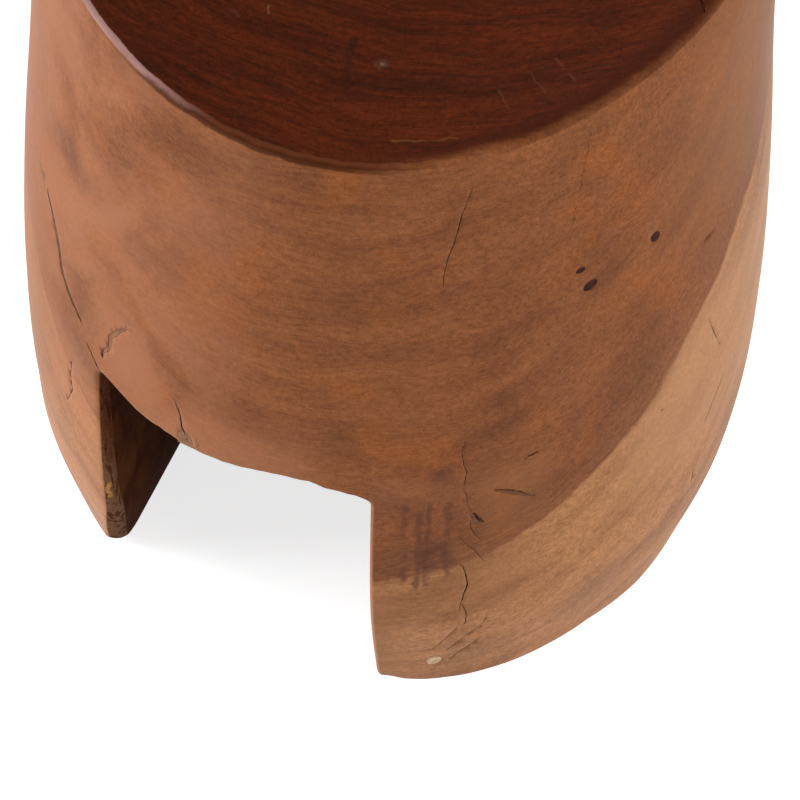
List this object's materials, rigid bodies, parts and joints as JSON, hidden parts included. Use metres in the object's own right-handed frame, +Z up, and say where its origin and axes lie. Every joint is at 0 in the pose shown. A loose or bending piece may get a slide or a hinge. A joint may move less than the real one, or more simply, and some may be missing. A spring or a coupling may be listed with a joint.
{
  "type": "carved wooden stool",
  "caption": "One-log hardwood stool: barrel-shaped drum with a dished, saddle-rimmed seat and a straight channel below that leaves a narrow and a wide slab foot.",
  "frame": {"origin": "on the floor, under the middle of the bounding box", "axes": "+Z up; Y runs along the channel, with the pictured front facing -Y; +X points to the wide foot"},
  "size_m": [0.4118, 0.409, 0.4659],
  "materials": {
    "log_wood": "satin, hand-rubbed, darker and glossier on the seat",
    "plug_wood": "dull, end grain",
    "pale_wood": "matt, fresh wood",
    "olive_putty": "matt",
    "grey_putty": "matt",
    "dark_putty": "matt"
  },
  "bodies": {
    "root": {"stool_body": "log_wood", "plug_round": "plug_wood", "plug_oval": "plug_wood", "plug_small": "plug_wood", "patch_arch_edge": "olive_putty", "patch_right_foot": "pale_wood", "fill_corner_check": "grey_putty", "fill_left_check": "grey_putty", "fill_right_check": "dark_putty", "fill_right_slit": "dark_putty"}
  },
  "joints": []
}
